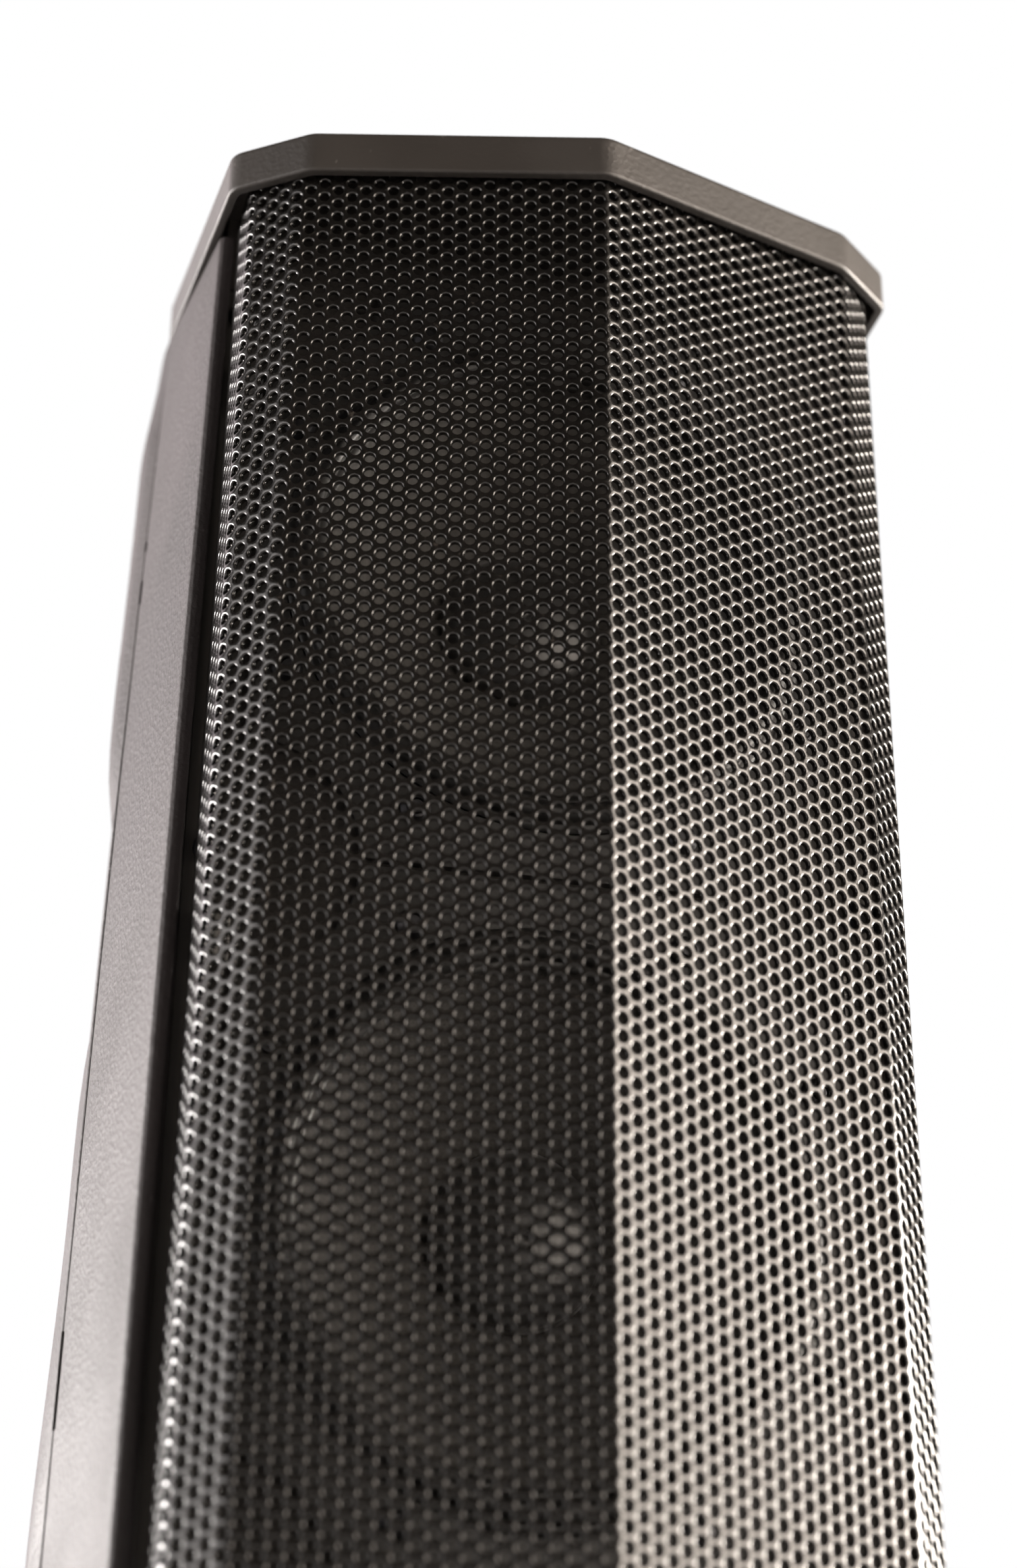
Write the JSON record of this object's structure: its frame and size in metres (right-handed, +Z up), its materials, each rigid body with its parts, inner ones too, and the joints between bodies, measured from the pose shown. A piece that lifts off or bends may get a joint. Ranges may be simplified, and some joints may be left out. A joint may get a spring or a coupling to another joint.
{
  "type": "line array speaker",
  "caption": "Column line array speaker with a faceted perforated steel grille, moulded end caps, woofers above and below a central horn, and a powered back panel.",
  "frame": {"origin": "on the axis of the pole thread, in the plane of the base's underside; the rubber feet reach 6 mm below it", "axes": "+Z up along the column, -Y out of the grille towards the audience, +X to the right as seen from the audience"},
  "size_m": [0.2122, 0.2375, 0.9],
  "materials": {
    "grille_steel": "semi-gloss fine powder coat over perforated steel",
    "shell_plastic": "fine spark-eroded texture, satin",
    "cap_plastic": "fine texture, satin, with light scuffs on the arris",
    "rubber": "matt moulded rubber",
    "baffle_ply": "birch plywood stained black",
    "zinc_steel": "zinc plated",
    "spring_steel": "blued spring steel",
    "ferrite": "ground ferrite",
    "horn_plastic": "satin moulded",
    "driver_can": "satin black paint on a turned can",
    "titanium_foil": "thin formed foil",
    "black_screw": "black zinc",
    "panel_black": "fine powder coat on aluminium",
    "anodised_sink": "black anodised extrusion",
    "board_green": "solder mask with parts soldered on",
    "transformer_wrap": "polyester tape over the winding",
    "connector_plastic": "glass filled nylon",
    "rocker_plastic": "polished moulding",
    "knob_plastic": "soft satin with a pale pointer",
    "button_plastic": "satin grey",
    "lamp_lens": "tinted lens",
    "connector_metal": "black plated die casting",
    "latch_metal": "plated die casting",
    "wadding_felt": "polyester fibre wadding",
    "cable_jacket": "PVC jacket",
    "cone_paper": "pressed paper pulp with a damping coat",
    "dust_cap_paper": "pressed paper with a grey damping coat",
    "copper_coil": "enamelled copper wire on a foil former",
    "surround_rubber": "satin butyl half roll",
    "spider_cloth": "resin-dipped corrugated cotton",
    "basket_paint": "satin black e-coat on pressed steel"
  },
  "bodies": {
    "cabinet": {"amp_panel": "panel_black", "baffle_board": "baffle_ply", "basket_1": "basket_paint", "basket_2": "basket_paint", "basket_3": "basket_paint", "basket_4": "basket_paint", "bottom_cap": "cap_plastic", "case_screws": "black_screw", "circuit_board": "board_green", "compression_driver": "driver_can", "feet": "rubber", "fly_inserts": "zinc_steel", "front_screws": "black_screw", "front_shell": "shell_plastic", "grille": "grille_steel", "grille_clips": "spring_steel", "heat_sink": "anodised_sink", "horn": "horn_plastic", "input_jack": "connector_metal", "level_control": "zinc_steel", "link_jack": "connector_metal", "mains_inlet": "connector_plastic", "panel_screws": "black_screw", "pole_thread": "zinc_steel", "power_supply": "transformer_wrap", "rear_shell": "shell_plastic", "shell_gasket": "rubber", "spider_1": "spider_cloth", "spider_2": "spider_cloth", "spider_3": "spider_cloth", "spider_4": "spider_cloth", "status_leds": "lamp_lens", "surround_1": "surround_rubber", "surround_2": "surround_rubber", "surround_3": "surround_rubber", "surround_4": "surround_rubber", "switch_frame": "connector_plastic", "top_cap": "cap_plastic", "wadding": "wadding_felt", "wiring": "cable_jacket", "woofer_magnets": "ferrite", "woofer_top_plates": "zinc_steel", "woofer_yokes": "zinc_steel"},
    "cone_assembly_1": {"cone_1": "cone_paper", "dust_cap_1": "dust_cap_paper", "voice_coil_1": "copper_coil"},
    "cone_assembly_2": {"cone_2": "cone_paper", "dust_cap_2": "dust_cap_paper", "voice_coil_2": "copper_coil"},
    "cone_assembly_3": {"cone_3": "cone_paper", "dust_cap_3": "dust_cap_paper", "voice_coil_3": "copper_coil"},
    "cone_assembly_4": {"cone_4": "cone_paper", "dust_cap_4": "dust_cap_paper", "voice_coil_4": "copper_coil"},
    "hf_dome": {"hf_diaphragm": "titanium_foil"},
    "power_rocker": {"power_rocker": "rocker_plastic"},
    "level_knob": {"level_knob": "knob_plastic"},
    "mode_button": {"mode_button": "button_plastic"},
    "input_latch": {"input_latch": "latch_metal"}
  },
  "joints": [
    {"name": "woofer_1_travel", "type": "slide", "parent": "cabinet", "child": "cone_assembly_1", "axis": [0, -1, 0], "range_m": [-0.0045, 0.0045], "stiffness_N_per_m": 1500, "deforming": ["surround_1", "spider_1"]},
    {"name": "woofer_2_travel", "type": "slide", "parent": "cabinet", "child": "cone_assembly_2", "axis": [0, -1, 0], "range_m": [-0.0045, 0.0045], "stiffness_N_per_m": 1500, "deforming": ["surround_2", "spider_2"]},
    {"name": "woofer_3_travel", "type": "slide", "parent": "cabinet", "child": "cone_assembly_3", "axis": [0, -1, 0], "range_m": [-0.0045, 0.0045], "stiffness_N_per_m": 1500, "deforming": ["surround_3", "spider_3"]},
    {"name": "woofer_4_travel", "type": "slide", "parent": "cabinet", "child": "cone_assembly_4", "axis": [0, -1, 0], "range_m": [-0.0045, 0.0045], "stiffness_N_per_m": 1500, "deforming": ["surround_4", "spider_4"]},
    {"name": "hf_dome_travel", "type": "slide", "parent": "cabinet", "child": "hf_dome", "axis": [0, -1, 0], "range_m": [-0.0004, 0.0004], "stiffness_N_per_m": 3000},
    {"name": "power_rocker_tilt", "type": "hinge", "parent": "cabinet", "child": "power_rocker", "pos_m": [0.028, 0.107, 0.098], "axis": [1, 0, 0], "range_deg": [0, 18]},
    {"name": "level_knob_turn", "type": "hinge", "parent": "cabinet", "child": "level_knob", "pos_m": [-0.032, 0.11, 0.216], "axis": [0, 1, 0], "range_deg": [-150, 150]},
    {"name": "mode_button_press", "type": "slide", "parent": "cabinet", "child": "mode_button", "axis": [0, -1, 0], "range_m": [0, 0.002], "stiffness_N_per_m": 300},
    {"name": "input_latch_press", "type": "slide", "parent": "cabinet", "child": "input_latch", "axis": [0, -1, 0], "range_m": [0, 0.0015], "stiffness_N_per_m": 300}
  ]
}
